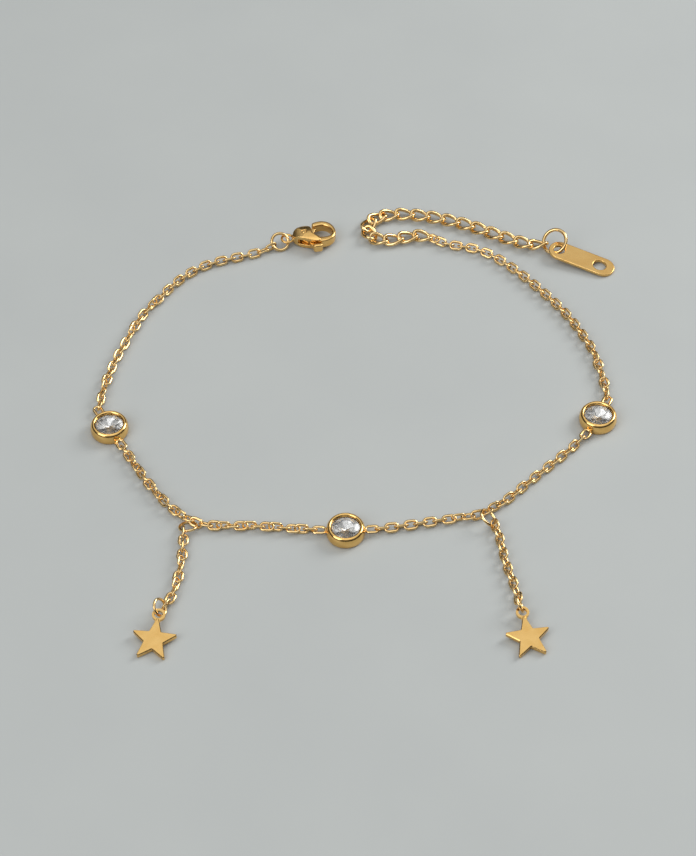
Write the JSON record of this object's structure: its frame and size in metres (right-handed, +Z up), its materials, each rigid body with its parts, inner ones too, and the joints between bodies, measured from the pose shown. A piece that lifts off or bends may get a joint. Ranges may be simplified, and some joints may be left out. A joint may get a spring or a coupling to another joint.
{
  "type": "charm anklet",
  "caption": "Gold-plated chain anklet lying open: round stone settings, star charms on short drops, lobster clasp, curb extender chain and an oblong end tag.",
  "frame": {"origin": "middle of the laid-out anklet's box, on the surface that it lies on", "axes": "+Z up from the surface; +Y away, from the star drops towards the clasp and extender; +X to the right"},
  "size_m": [0.0852, 0.0952, 0.0033],
  "materials": {
    "polished_gold": "polished gold plate",
    "satin_gold": "satin gold plate",
    "stone": "faceted, clear, foiled behind"
  },
  "bodies": {
    "root": {"clasp_body": "satin_gold", "clasp_rivet": "polished_gold", "clasp_ring": "polished_gold", "chain_left_upper": "polished_gold", "bezel_left": "polished_gold", "stone_left": "stone", "chain_left_lower": "polished_gold", "junction_ring_left": "polished_gold", "drop_chain_left": "polished_gold", "star_ring_left": "polished_gold", "star_left": "polished_gold", "chain_left_centre": "polished_gold", "bezel_centre": "polished_gold", "stone_centre": "stone", "chain_right_centre": "polished_gold", "junction_ring_right": "polished_gold", "drop_chain_right": "polished_gold", "star_ring_right": "polished_gold", "star_right": "polished_gold", "chain_right_lower": "polished_gold", "bezel_right": "polished_gold", "stone_right": "stone", "chain_right_upper": "polished_gold", "extender_chain": "polished_gold", "end_ring": "polished_gold", "end_tag": "satin_gold"},
    "lever": {"clasp_lever": "satin_gold"}
  },
  "joints": [
    {"name": "clasp_lever_hinge", "type": "hinge", "parent": "root", "child": "lever", "pos_m": [-0.00947, 0.04024, 0.0013], "axis": [0, 0, -1], "range_deg": [0, 30], "stiffness_Nm_per_rad": 0.0005, "springref_deg": -5.73}
  ]
}
